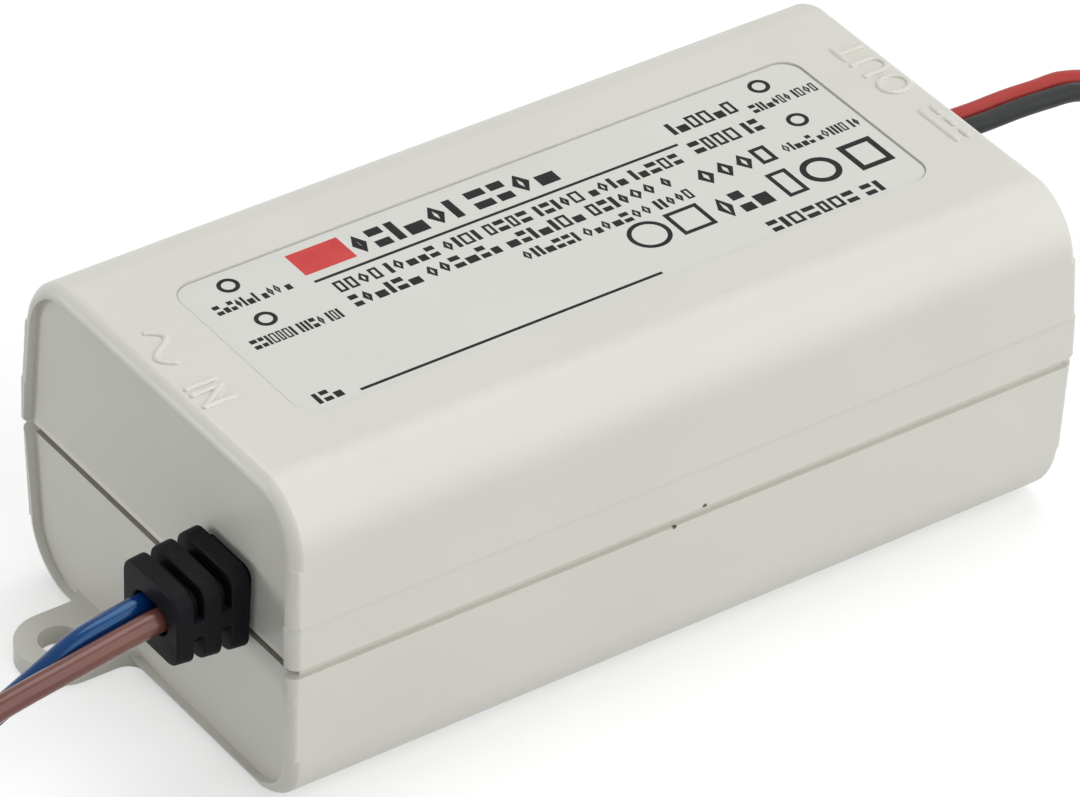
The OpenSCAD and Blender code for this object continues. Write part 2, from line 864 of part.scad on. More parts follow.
module transformer_bobbin() {
    color([0.28, 0.22, 0.18])
        on_board(core_place, 0)
            difference() {
                union() {
                    translate([-tube_x / 2, -tube_y / 2, coil_low])
                        cube([tube_x, tube_y, coil_high - coil_low]);
                    for (z = [coil_low, coil_high - bobbin_wall])
                        translate([-flange_half, -flange_y / 2, z])
                            cube([2 * flange_half, flange_y, bobbin_wall]);
                    for (m = [-1, 1])
                        translate([m * (flange_half - bobbin_foot / 2) - bobbin_foot / 2, -flange_y / 2, 0])
                            cube([bobbin_foot, flange_y, coil_low + bobbin_wall]);
                }
                translate([0, 0, coil_low - 1])
                    linear_extrude(height = coil_high - coil_low + 2)
                        square([core_depth + 2 * sleeve, core_leg + 2 * sleeve], center = true);
            }
}

module transformer_winding() {
    color([0.85, 0.72, 0.2])
        on_board(core_place, 0)
            translate([0, 0, coil_low + bobbin_wall])
                linear_extrude(height = coil_high - coil_low - 2 * bobbin_wall)
                    difference() {
                        round_rect(2 * flange_half - bobbin_wall, flange_y - 2 * sleeve, flange_y / 4);
                        square([tube_x, tube_y], center = true);
                    }
}

module snubber_diode() {
    color(black)
        on_board(-0.1, 0.86)
            axial(resistor_d, resistor_l, 0.6);
}

module snubber_capacitor() {
    color([0.2, 0.42, 0.72])
        on_board(-0.165, 0.55, 90)
            disc(safety_d / 2);
}

module optocoupler() {
    color([0.9, 0.9, 0.88])
        on_board(0.27, -0.74)
            chip(2);
}

module safety_capacitor() {
    color([0.25, 0.5, 0.78])
        on_board(0.17, 0.82)
            disc(safety_d);
}

module output_diode() {
    color(black)
        on_board(0.62, -0.78)
            axial(diode_d, diode_l, 1.2);
}

module output_capacitors() {
    color([0.14, 0.2, 0.16])
        for (x = [0.52, 0.78])
            on_board(x, -0.26)
                can(out_d, out_h);
}

module output_choke() {
    color(black)
        on_board(0.55, 0.55)
            drum(ripple_d, ripple_h);
}

module resistors() {
    color([0.8, 0.7, 0.55])
        for (p = [[-0.6, 0.56, 90], [0.07, -0.86, 0], [0.385, -0.74, 90], [0.395, 0.76, 90], [0.74, 0.24, 0]])
            on_board(p[0], p[1], p[2])
                axial(resistor_d, resistor_l, 0.6);
}

upper_cover();
lower_case();
rating_label();
input_bushing();
output_bushing();
lead_brown();
lead_blue();
lead_red();
lead_black();
tip_brown();
tip_blue();
tip_red();
tip_black();
circuit_board();
fuse_resistor();
varistor();
film_capacitor();
choke_core();
choke_winding();
bridge_rectifier();
bulk_capacitors();
controller_chip();
transformer_core();
transformer_bobbin();
transformer_winding();
snubber_diode();
snubber_capacitor();
optocoupler();
safety_capacitor();
output_diode();
output_capacitors();
output_choke();
resistors();
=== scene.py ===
"""Looks of a small LED driver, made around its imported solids.

The camera, the four leads and their stranded ends come first. Then come the finishes, the
smooth shading of the solids, the raised port marks, the print on the label, and last the
floor and the studio light. Values written in millimetres are turned into metres by MM.
"""

import json
import math

import bpy
import numpy as np
from mathutils import Matrix, Vector


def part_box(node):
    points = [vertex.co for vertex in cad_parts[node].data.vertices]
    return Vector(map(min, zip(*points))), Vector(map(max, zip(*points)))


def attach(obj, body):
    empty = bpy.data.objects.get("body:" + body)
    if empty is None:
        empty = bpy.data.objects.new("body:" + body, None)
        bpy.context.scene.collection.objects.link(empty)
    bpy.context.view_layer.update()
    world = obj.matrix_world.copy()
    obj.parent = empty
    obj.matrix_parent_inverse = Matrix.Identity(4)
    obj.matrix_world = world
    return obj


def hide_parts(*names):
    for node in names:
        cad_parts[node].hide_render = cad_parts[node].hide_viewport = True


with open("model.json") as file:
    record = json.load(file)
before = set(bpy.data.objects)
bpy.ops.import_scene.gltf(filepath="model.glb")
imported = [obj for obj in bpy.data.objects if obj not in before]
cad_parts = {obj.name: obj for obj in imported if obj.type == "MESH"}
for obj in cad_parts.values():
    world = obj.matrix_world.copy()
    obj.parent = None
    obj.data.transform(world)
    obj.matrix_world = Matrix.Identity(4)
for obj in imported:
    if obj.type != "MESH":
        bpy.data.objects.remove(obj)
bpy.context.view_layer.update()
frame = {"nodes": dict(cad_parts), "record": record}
nodes = frame["nodes"]

MM = 0.001
ROOT = "root"

# Camera: the photograph's size, place, turn and lens
IMAGE_WIDTH = 1080
IMAGE_HEIGHT = 797
CAMERA_PLACE = Vector((-288.50, -397.17, 376.17)) * MM
CAMERA_AZIMUTH = math.radians(35.99)
CAMERA_ELEVATION = math.radians(36.42)
CAMERA_ROLL = math.radians(1.80)
FOCAL_PIXELS = 7503.7
LENS_MIDDLE = (550.7, 399.9)
SENSOR_WIDTH = 36.0
CLIP_NEAR = 0.01
CLIP_FAR = 20.0


def make_camera():
    """Camera turned about Z by its azimuth, tipped down by its elevation and rolled."""
    data = bpy.data.cameras.new("camera")
    data.sensor_fit = "HORIZONTAL"
    data.sensor_width = SENSOR_WIDTH
    data.lens = FOCAL_PIXELS * SENSOR_WIDTH / IMAGE_WIDTH
    data.shift_x = (IMAGE_WIDTH / 2 - LENS_MIDDLE[0]) / IMAGE_WIDTH
    data.shift_y = (LENS_MIDDLE[1] - IMAGE_HEIGHT / 2) / IMAGE_WIDTH
    data.clip_start = CLIP_NEAR
    data.clip_end = CLIP_FAR
    camera = bpy.data.objects.new("camera", data)
    bpy.context.scene.collection.objects.link(camera)
    turn = Matrix.Rotation(-CAMERA_AZIMUTH, 4, "Z")
    tip = Matrix.Rotation(math.pi / 2 - CAMERA_ELEVATION, 4, "X")
    roll = Matrix.Rotation(CAMERA_ROLL, 4, "Z")
    camera.matrix_world = Matrix.Translation(CAMERA_PLACE) @ turn @ tip @ roll
    bpy.context.scene.camera = camera


make_camera()

# Leads: the bushing's mouth comes from the frame, and the routes repeat the solids' own.
# A route's row is the distance out from the mouth, the distance across from the bushing's
# middle, and the heights of the far and the near lead as shares of the mouth's height.
INPUT_LEAD_D = 2.0 * MM
OUTPUT_LEAD_D = 1.7 * MM
LEAD_GAP = 0.1 * MM
PITCH_INSIDE = 2.3 * MM
LEAD_ROUND = 5
LEAD_STEPS = 10
# Inside the case: distance out from the mouth, and share of the way from the board up to it
INNER_DROP = [(-17, 0), (-17, 0.55), (-15.2, 0.92), (-12.5, 1), (-6, 1)]


def turn_back(more):
    """Loose turn back to the case, which reaches further by the given distance."""
    return [(52, 8, 0, 0), (57 + more, 15, 0, 0), (57 + more, 23, 0, 0), (52 + more, 30 + more, 0, 0),
            (44, 33 + more, 0, 0), (24, 33 + more, 0, 0), (10, 33 + more, 0, 0)]


INPUT_ROUTE = [(0, 0, 1, 1), (3, 0, 0.98, 0.97), (6, 0, 0.94, 0.94), (9, 0, 0.85, 0.91),
               (12, 0, 0.76, 0.88), (15, 0, 0.67, 0.84), (20, 0, 0.51, 0.72), (26, 0, 0.31, 0.49),
               (32, 0, 0.13, 0.24), (38, 1, 0.02, 0.06), (45, 3.5, 0, 0)] + turn_back(0)
OUTPUT_ROUTE = [(0, 0, 1, 1), (3, 0, 0.98, 0.98), (6, 0, 0.97, 0.97), (10, 0, 0.97, 0.97),
                (13, 0, 0.96, 0.96), (16, 0, 0.94, 0.95), (20, 0, 0.84, 0.86), (26, 0, 0.56, 0.58),
                (32, 0, 0.26, 0.27), (38, 1, 0.06, 0.06), (45, 3.5, 0, 0)] + turn_back(0.3)

bush_low, bush_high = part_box("input_bushing")
MOUTH_X = bush_low.x
MOUTH_Y = (bush_low.y + bush_high.y) / 2
MOUTH_Z = (bush_low.z + bush_high.z) / 2
BOARD_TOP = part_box("circuit_board")[1].z
HALF_TURN = np.array((-1.0, -1.0, 1.0))


def knot_turns(line):
    """Direction of a smooth curve at each of its points: that of the chord past the point."""
    ahead = np.vstack([line[1:], line[-1:]]) - np.vstack([line[:1], line[:-1]])
    return ahead / np.linalg.norm(ahead, axis=1, keepdims=True)


def inner_line(side):
    """Middle line of one lead inside the input end, from the board up to the bushing."""
    drop = np.array(INNER_DROP)
    return np.stack([MOUTH_X - drop[:, 0] * MM,
                     np.full(len(drop), MOUTH_Y + side * PITCH_INSIDE / 2),
                     BOARD_TOP + drop[:, 1] * (MOUTH_Z - BOARD_TOP)], axis=1)


def lead_line(route, side, diameter):
    """Middle line of one lead at the input end: from inside the bushing, then the route with each
    point moved half a pitch along the plan normal, to the far side for +1 and the near for -1."""
    rows = np.array(route, float)
    plan = np.stack([MOUTH_X - rows[:, 0] * MM, MOUTH_Y + rows[:, 1] * MM], axis=1)
    ahead = knot_turns(plan)
    half = np.full(len(rows), (diameter + LEAD_GAP) / 2)
    half[0] = PITCH_INSIDE / 2
    plan += side * half[:, None] * np.stack([ahead[:, 1], -ahead[:, 0]], axis=1)
    share = rows[:, 2] if side > 0 else rows[:, 3]
    height = diameter / 2 + share * (MOUTH_Z - diameter / 2)
    return np.vstack([inner_line(side)[-1:], np.column_stack([plan, height])])


def make_lead(name, line, diameter):
    """Round sheath: one smooth open spline through the line's points, with closed ends. The knots'
    radius carries its thickness, because a curve's box grows by that radius in metres."""
    curve = bpy.data.curves.new(name, "CURVE")
    curve.dimensions = "3D"
    curve.bevel_depth = 1.0
    curve.bevel_resolution = LEAD_ROUND
    curve.resolution_u = LEAD_STEPS
    curve.use_fill_caps = True
    spline = curve.splines.new("BEZIER")
    spline.bezier_points.add(len(line) - 1)
    gap = np.linalg.norm(np.diff(line, axis=0), axis=1) / 3
    before = np.concatenate([gap[:1], gap])[:, None]
    after = np.concatenate([gap, gap[-1:]])[:, None]
    ahead = knot_turns(line)
    lowest = (-np.inf, -np.inf, diameter / 2)
    lefts = np.maximum(line - before * ahead, lowest)
    rights = np.maximum(line + after * ahead, lowest)
    for knot, place, left, right in zip(spline.bezier_points, line, lefts, rights):
        knot.handle_left_type = "FREE"
        knot.handle_right_type = "FREE"
        knot.co = place
        knot.handle_left = left
        knot.handle_right = right
        knot.radius = diameter / 2
    lead = bpy.data.objects.new(name, curve)
    bpy.context.scene.collection.objects.link(lead)
    return lead


def link_mesh(name, points, faces, smooth):
    """New mesh object at the origin from an array of points and rows of their numbers."""
    mesh = bpy.data.meshes.new(name)
    mesh.from_pydata(points.reshape(-1, 3).tolist(), [], [[int(i) for i in face] for face in faces])
    mesh.polygons.foreach_set("use_smooth", np.full(len(faces), smooth))
    mesh.update()
    piece = bpy.data.objects.new(name, mesh)
    bpy.context.scene.collection.objects.link(piece)
    return piece


def grid_faces(rows, columns, close_rows=False):
    """Quads of a grid of points, counted row by row: each row is closed on itself, and the last
    row is joined to the first where asked."""
    r = np.arange(rows if close_rows else rows - 1)[:, None]
    c = np.arange(columns)[None, :]
    r_next = (r + 1) % rows
    c_next = (c + 1) % columns
    quads = [r * columns + c, r * columns + c_next,
             r_next * columns + c_next, r_next * columns + c]
    return np.stack([q.ravel() for q in np.broadcast_arrays(*quads)], axis=1)


# Stranded tips: seven wires twisted together, cut a little rough and tinned
STRANDS = 7
TWIST_TURNS = 1.5
STRAND_DIP = 0.16
TIP_ROWS = 60
TIP_COLUMNS = 84
TIP_DOME = 24
TIP_CLOSED = 0.02


def make_tip(name, node):
    """Twisted bundle along X in the node's box: radius r(a) = R (1 - dip sin^2(n a / 2)), with
    the angle a turned steadily along the length, and both ends drawn to a low dome by the square
    root of 1 - |2 u - 1|^24 for the share u of the length."""
    low, high = (np.array(corner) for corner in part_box(node))
    middle = (low + high) / 2
    radius = (high[1] - low[1]) / 2
    u = np.linspace(0, 1, TIP_ROWS)[:, None]
    a = np.linspace(0, 2 * np.pi, TIP_COLUMNS, endpoint=False)[None, :]
    lobes = 1 - STRAND_DIP * np.sin(STRANDS * a / 2) ** 2
    closing = np.sqrt(np.clip(1 - np.abs(2 * u - 1) ** TIP_DOME, 0, 1))
    turn = a + 2 * np.pi * TWIST_TURNS * u
    r = radius * lobes * np.maximum(closing, TIP_CLOSED)
    x = low[0] + u * (high[0] - low[0]) + 0 * a
    points = np.stack([x, middle[1] + r * np.cos(turn), middle[2] + r * np.sin(turn)], axis=2)
    piece = link_mesh(name, points, grid_faces(TIP_ROWS, TIP_COLUMNS), True)
    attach(piece, ROOT)
    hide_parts(node)
    return piece


# Tails: the leads' ends inside the case, from the board up into the bushing
TAIL_STEPS = 10
TAIL_COLUMNS = 24


def make_tail(name, line, diameter):
    """Round tube inside the case: between each two points p, q with directions a, b and gap g the
    middle line is the cubic p h0 + g a h1 + q h2 + g b h3, with h0 to h3 the Hermite weights, and
    a circle is carried along it square to its direction."""
    t = np.linspace(0, 1, TAIL_STEPS, endpoint=False)[:, None]
    ahead = knot_turns(line)
    pieces = []
    for p, q, a, b in zip(line, line[1:], ahead, ahead[1:]):
        g = np.linalg.norm(q - p)
        pieces.append((2 * t**3 - 3 * t**2 + 1) * p + (t**3 - 2 * t**2 + t) * g * a
                      + (3 * t**2 - 2 * t**3) * q + (t**3 - t**2) * g * b)
    middle = np.vstack(pieces + [line[-1:]])
    along = np.gradient(middle, axis=0)
    along /= np.linalg.norm(along, axis=1, keepdims=True)
    across = np.tile((0.0, 1.0, 0.0), (len(middle), 1))
    up = np.cross(along, across)
    c = np.linspace(0, 2 * np.pi, TAIL_COLUMNS, endpoint=False)[None, :, None]
    points = middle[:, None] + diameter / 2 * (np.cos(c) * across[:, None] + np.sin(c) * up[:, None])
    tail = link_mesh(name, points, grid_faces(len(middle), TAIL_COLUMNS), True)
    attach(tail, ROOT)
    return tail


# The four leads: colour, route, side, diameter, and whether it is turned to the output end
LEADS = [("brown", INPUT_ROUTE, -1, INPUT_LEAD_D, False),
         ("blue", INPUT_ROUTE, 1, INPUT_LEAD_D, False),
         ("red", OUTPUT_ROUTE, -1, OUTPUT_LEAD_D, True),
         ("black", OUTPUT_ROUTE, 1, OUTPUT_LEAD_D, True)]
leads = {}
tails = {}
tips = {}
for colour, route, side, diameter, turned in LEADS:
    half_turn = HALF_TURN if turned else 1
    line = lead_line(route, side, diameter) * half_turn
    leads[colour] = make_lead("sheath_" + colour, line, diameter)
    tails[colour] = make_tail("tail_" + colour, inner_line(side) * half_turn, diameter)
    tips[colour] = make_tip("strands_" + colour, "tip_" + colour)
    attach(leads[colour], ROOT)
    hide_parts("lead_" + colour)


# Finishes: every one is worked out from Object coordinates. Most values of a noise lie between
# NOISE_LOW and NOISE_HIGH.
NOISE_LOW = 0.3
NOISE_HIGH = 0.7
SHEEN_FINER = 5


def start_finish(name):
    """New node material: the material, its tree, its shader and the Object coordinates."""
    finish = bpy.data.materials.new(name)
    finish.use_nodes = True
    tree = finish.node_tree
    place = tree.nodes.new("ShaderNodeTexCoord").outputs["Object"]
    return finish, tree, tree.nodes["Principled BSDF"], place


def noise(tree, place, scale, detail=3.0):
    """Noise value with the given number of cells to a metre."""
    node = tree.nodes.new("ShaderNodeTexNoise")
    node.inputs["Scale"].default_value = scale
    node.inputs["Detail"].default_value = detail
    tree.links.new(place, node.inputs["Vector"])
    return node.outputs["Fac"]


def blend_colours(tree, value, dark, light, low=NOISE_LOW, high=NOISE_HIGH):
    """Colour that goes from dark to light as the value goes from low to high."""
    ramp = tree.nodes.new("ShaderNodeValToRGB")
    ramp.color_ramp.elements[0].position = low
    ramp.color_ramp.elements[1].position = high
    ramp.color_ramp.elements[0].color = (*dark, 1)
    ramp.color_ramp.elements[1].color = (*light, 1)
    tree.links.new(value, ramp.inputs["Fac"])
    return ramp.outputs["Color"]


def remap(tree, value, low, high):
    """Value of a noise, spread from low to high."""
    node = tree.nodes.new("ShaderNodeMapRange")
    node.inputs["From Min"].default_value = NOISE_LOW
    node.inputs["From Max"].default_value = NOISE_HIGH
    node.inputs["To Min"].default_value = low
    node.inputs["To Max"].default_value = high
    tree.links.new(value, node.inputs["Value"])
    return node.outputs["Result"]


def bump(tree, shader, height, depth, below=None):
    """Bump of a depth in metres, on top of another bump where one is given."""
    node = tree.nodes.new("ShaderNodeBump")
    node.inputs["Strength"].default_value = 1.0
    node.inputs["Distance"].default_value = depth
    tree.links.new(height, node.inputs["Height"])
    if below is not None:
        tree.links.new(below, node.inputs["Normal"])
    tree.links.new(node.outputs["Normal"], shader.inputs["Normal"])
    return node.outputs["Normal"]


def moulded(name, dark, light, rough, grain=4000, grain_depth=0.002 * MM, cloud=60, metal=0.0,
            sheen=0.5, tint=(1, 1, 1)):
    """Moulded, dipped or drawn surface: slow clouds of colour, a fine grain in the relief and
    a tinted sheen that wanders between two roughnesses."""
    finish, tree, shader, place = start_finish(name)
    shader.inputs["Metallic"].default_value = metal
    shader.inputs["Specular IOR Level"].default_value = sheen
    shader.inputs["Specular Tint"].default_value = (*tint, 1)
    clouds = noise(tree, place, cloud)
    tree.links.new(blend_colours(tree, clouds, dark, light), shader.inputs["Base Color"])
    wander = noise(tree, place, cloud * SHEEN_FINER)
    tree.links.new(remap(tree, wander, *rough), shader.inputs["Roughness"])
    bump(tree, shader, noise(tree, place, grain, 2.0), grain_depth)
    return finish


# Case: colours, cells to a metre and depths of its relief, then painted shade, a painted highlight
# and specks of dirt, with the places where they lie
CASE_DARK = (0.668, 0.662, 0.603)
CASE_LIGHT = (0.698, 0.692, 0.634)
CASE_CLOUD = 45
CASE_ROUGH = (0.36, 0.46)
CASE_WANDER = 260
CASE_WAVE = 90
CASE_WAVE_DEPTH = 0.03 * MM
CASE_GRAIN = 5200
CASE_GRAIN_DEPTH = 0.0025 * MM
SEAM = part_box("upper_cover")[0].z
GROOVE_HEIGHT = 0.78 * MM
GROOVE_END = 36.9 * MM
GROOVE_SIDE = 18.4 * MM
# Painted shade: colour that darkens the seam's groove on the two end panels
GROOVE_SHADE = (0.40, 0.39, 0.34, 1)
RIM_HEIGHT = 0.45 * MM
# Painted highlight: paler colour on the rim just above the seam on the two end panels
RIM_HIGHLIGHT = (0.80, 0.775, 0.715, 1)
LEDGE = SEAM + 3.95 * MM
LEDGE_HEIGHT = 0.2 * MM
LEDGE_SIDE = 19.4 * MM
# Painted shade: colour that darkens the thin step above the seam on the long sides
LEDGE_SHADE = (0.585, 0.579, 0.525, 1)
SPECK_DIRT = (0.05, 0.045, 0.035, 1)
SPECK_RADIUS = 0.28 * MM
SPECKS = [Vector((-1.98, -19.93, 14.62)) * MM, Vector((0.70, -20.25, 15.80)) * MM]


def lay_over(tree, below, share, colour):
    """Colour laid over another one by a share."""
    mix = tree.nodes.new("ShaderNodeMix")
    mix.data_type = "RGBA"
    factor, first, second = [socket for socket in mix.inputs if socket.enabled]
    second.default_value = colour
    tree.links.new(share, factor)
    tree.links.new(below, first)
    return [socket for socket in mix.outputs if socket.enabled][0]


def nearness(tree, place, middle, reach):
    """Share that falls from 1 to 0 over the outer half of a reach about a place."""
    apart = tree.nodes.new("ShaderNodeVectorMath")
    apart.operation = "DISTANCE"
    apart.inputs[1].default_value = middle
    tree.links.new(place, apart.inputs[0])
    share = tree.nodes.new("ShaderNodeMapRange")
    share.inputs["From Min"].default_value = reach
    share.inputs["From Max"].default_value = reach / 2
    tree.links.new(apart.outputs["Value"], share.inputs["Value"])
    return share.outputs["Result"]


def arithmetic(tree, operation, first, *others):
    """Result of one operation on a socket and further sockets or plain numbers."""
    node = tree.nodes.new("ShaderNodeMath")
    node.operation = operation
    tree.links.new(first, node.inputs[0])
    for socket, other in zip(node.inputs[1:], others):
        if isinstance(other, float):
            socket.default_value = other
        else:
            tree.links.new(other, socket)
    return node.outputs["Value"]


def at_level(tree, split, low, height):
    """1 from a level up through a height, otherwise 0."""
    return arithmetic(tree, "COMPARE", split["Z"], low + height / 2, height / 2)


def at_ends(tree, split, low, height):
    """1 from a level up through a height on the two end panels, otherwise 0."""
    level = at_level(tree, split, low, height)
    outward = arithmetic(tree, "GREATER_THAN", arithmetic(tree, "ABSOLUTE", split["X"]), GROOVE_END)
    inward = arithmetic(tree, "LESS_THAN", arithmetic(tree, "ABSOLUTE", split["Y"]), GROOVE_SIDE)
    return arithmetic(tree, "MULTIPLY", level, arithmetic(tree, "MULTIPLY", outward, inward))


def on_ledge(tree, split):
    """1 along the step above the seam on the two long sides, otherwise 0."""
    level = at_level(tree, split, LEDGE, LEDGE_HEIGHT)
    outward = arithmetic(tree, "GREATER_THAN", arithmetic(tree, "ABSOLUTE", split["Y"]), LEDGE_SIDE)
    return arithmetic(tree, "MULTIPLY", level, outward)


def case_finish():
    """Pale ivory moulding: faint clouds, a spark-eroded grain, long shallow waves, painted shade in
    the seam's groove at the ends, a painted highlight on the rim over it, painted shade along the
    step above the seam, and two specks of dirt on the near side."""
    finish, tree, shader, place = start_finish("ivory_moulding")
    clouds = noise(tree, place, CASE_CLOUD, 4.0)
    colour = blend_colours(tree, clouds, CASE_DARK, CASE_LIGHT)
    separate = tree.nodes.new("ShaderNodeSeparateXYZ")
    tree.links.new(place, separate.inputs["Vector"])
    split = separate.outputs
    # Painted shade in the seam's groove on the end panels
    groove_shade = at_ends(tree, split, SEAM - GROOVE_HEIGHT, GROOVE_HEIGHT)
    colour = lay_over(tree, colour, groove_shade, GROOVE_SHADE)
    # Painted highlight on the rim above the seam's groove at the ends
    colour = lay_over(tree, colour, at_ends(tree, split, SEAM, RIM_HEIGHT), RIM_HIGHLIGHT)
    # Painted shade along the step above the seam on the long sides
    colour = lay_over(tree, colour, on_ledge(tree, split), LEDGE_SHADE)
    for speck in SPECKS:
        colour = lay_over(tree, colour, nearness(tree, place, speck, SPECK_RADIUS), SPECK_DIRT)
    tree.links.new(colour, shader.inputs["Base Color"])
    wander = noise(tree, place, CASE_WANDER)
    tree.links.new(remap(tree, wander, *CASE_ROUGH), shader.inputs["Roughness"])
    waves = bump(tree, shader, noise(tree, place, CASE_WAVE, 1.0), CASE_WAVE_DEPTH)
    bump(tree, shader, noise(tree, place, CASE_GRAIN, 2.0), CASE_GRAIN_DEPTH, waves)
    return finish


BOARD_CELLS = 160
BOARD_LINE = 0.06
BOARD_GREEN = (0.26, 0.34, 0.11, 1)
BOARD_PALE_GREEN = (0.30, 0.38, 0.14, 1)
BOARD_COPPER = (0.42, 0.40, 0.16, 1)
BOARD_WANDER = 400
BOARD_ROUGH = (0.4, 0.55)
BOARD_RELIEF = 0.03 * MM


def board_finish():
    """Bare laminate with rows of copper under the coat: a brick pattern lightens the green."""
    finish, tree, shader, place = start_finish("laminate")
    bricks = tree.nodes.new("ShaderNodeTexBrick")
    bricks.inputs["Scale"].default_value = BOARD_CELLS
    bricks.inputs["Mortar Size"].default_value = BOARD_LINE
    bricks.inputs["Color1"].default_value = BOARD_GREEN
    bricks.inputs["Color2"].default_value = BOARD_PALE_GREEN
    bricks.inputs["Mortar"].default_value = BOARD_COPPER
    tree.links.new(place, bricks.inputs["Vector"])
    tree.links.new(bricks.outputs["Color"], shader.inputs["Base Color"])
    wander = noise(tree, place, BOARD_WANDER)
    tree.links.new(remap(tree, wander, *BOARD_ROUGH), shader.inputs["Roughness"])
    bump(tree, shader, bricks.outputs["Fac"], BOARD_RELIEF)
    return finish


WOUND_WAVER = 0.4
WOUND_SPREAD = (0.1, 0.9)
WOUND_WANDER = 500
WOUND_ROUGH = (0.3, 0.45)
WOUND_RELIEF = 0.06 * MM


def wound(name, dark, light, turns, metal):
    """Wound wire or tape: bands across Z, each raised between two fine grooves."""
    finish, tree, shader, place = start_finish(name)
    shader.inputs["Metallic"].default_value = metal
    bands = tree.nodes.new("ShaderNodeTexWave")
    bands.bands_direction = "Z"
    bands.inputs["Scale"].default_value = turns
    bands.inputs["Distortion"].default_value = WOUND_WAVER
    tree.links.new(place, bands.inputs["Vector"])
    colour = blend_colours(tree, bands.outputs["Fac"], dark, light, *WOUND_SPREAD)
    tree.links.new(colour, shader.inputs["Base Color"])
    wander = noise(tree, place, WOUND_WANDER)
    tree.links.new(remap(tree, wander, *WOUND_ROUGH), shader.inputs["Roughness"])
    bump(tree, shader, bands.outputs["Fac"], WOUND_RELIEF)
    return finish


# Each finish: name, dark and light colour, range of roughness, then grain, its depth and clouds
# where they differ from the usual ones
FINISHES = {
    "case": case_finish(),
    "label": moulded("label_film", (0.67, 0.668, 0.625), (0.695, 0.692, 0.65), (0.34, 0.42),
                     6000, 0.0012 * MM),
    "bushing": moulded("black_bushing", (0.0035, 0.0035, 0.0045), (0.007, 0.007, 0.009), (0.45, 0.6),
                       3000, 0.008 * MM, sheen=0.09),
    "brown_sheath": moulded("brown_sheath", (0.125, 0.043, 0.034), (0.175, 0.063, 0.050), (0.16, 0.26),
                            2500, 0.003 * MM, sheen=0.5, tint=(1.0, 0.82, 0.78)),
    "blue_sheath": moulded("blue_sheath", (0.0012, 0.024, 0.12), (0.0025, 0.038, 0.17), (0.1, 0.18),
                           2500, 0.003 * MM, sheen=0.6, tint=(0.35, 0.68, 1.0)),
    "red_sheath": moulded("red_sheath", (0.34, 0.02, 0.017), (0.40, 0.03, 0.026), (0.34, 0.46),
                          2500, 0.006 * MM, sheen=0.3),
    "black_sheath": moulded("black_sheath", (0.016, 0.018, 0.018), (0.028, 0.03, 0.03), (0.36, 0.5),
                            2500, 0.006 * MM, sheen=0.2),
    "tin": moulded("tinned_wire", (0.58, 0.58, 0.57), (0.74, 0.74, 0.72), (0.24, 0.4),
                   5000, 0.004 * MM, 900, 1.0),
    "board": board_finish(),
    "fuse_coat": moulded("green_dip", (0.10, 0.25, 0.19), (0.14, 0.31, 0.24), (0.28, 0.4)),
    "disc_coat": moulded("blue_dip", (0.03, 0.14, 0.42), (0.05, 0.19, 0.52), (0.25, 0.4)),
    "film_box": moulded("yellow_box", (0.60, 0.43, 0.06), (0.70, 0.52, 0.10), (0.3, 0.42)),
    "ferrite": moulded("ground_ferrite", (0.028, 0.028, 0.03), (0.045, 0.045, 0.047), (0.45, 0.65),
                       1800, 0.02 * MM),
    "copper": wound("copper_winding", (0.28, 0.08, 0.02), (0.62, 0.24, 0.08), 900, 1.0),
    "resin": moulded("black_resin", (0.014, 0.014, 0.014), (0.028, 0.028, 0.028), (0.5, 0.65),
                     2600, 0.008 * MM),
    "can_sleeve": moulded("shrunk_sleeve", (0.015, 0.019, 0.028), (0.026, 0.031, 0.042), (0.22, 0.34)),
    "bobbin": moulded("brown_bobbin", (0.06, 0.038, 0.022), (0.10, 0.064, 0.04), (0.45, 0.6)),
    "tape": wound("yellow_tape", (0.55, 0.36, 0.02), (0.76, 0.54, 0.06), 120, 0.0),
    "pale_resin": moulded("pale_resin", (0.70, 0.70, 0.67), (0.80, 0.80, 0.77), (0.45, 0.6)),
    "resistor_coat": moulded("tan_lacquer", (0.50, 0.37, 0.21), (0.64, 0.50, 0.31), (0.35, 0.5)),
}
INK = moulded("black_ink", (0.006, 0.006, 0.007), (0.012, 0.012, 0.013), (0.45, 0.6),
              8000, 0.001 * MM, 700, sheen=0.15)
RED_INK = moulded("red_ink", (0.55, 0.035, 0.035), (0.62, 0.055, 0.05), (0.4, 0.55),
                  8000, 0.001 * MM, 400, sheen=0.3)


def dress(piece, finish):
    """Gives a piece one finish all over."""
    if not piece.material_slots:
        piece.data.materials.append(None)
    piece.material_slots[0].material = finish


for subpart in frame["record"]["subparts"]:
    dress(nodes[subpart["node"]], FINISHES[subpart["material_slot"]])
for colour, lead in leads.items():
    dress(lead, FINISHES[colour + "_sheath"])
    dress(tails[colour], FINISHES[colour + "_sheath"])
    dress(tips[colour], FINISHES["tin"])


# Smooth solids: their triangles are joined, rounds are shaded as rounds, and the bushings' edges
# are rounded off
SHARP_TURN = math.radians(30)
LEVEL_TURN = math.radians(0.4)
JOIN_GAP = 0.002 * MM
FACE_WEIGHT = 90
BUSHING_EDGE = 0.18 * MM
EDGE_SEGMENTS = 3


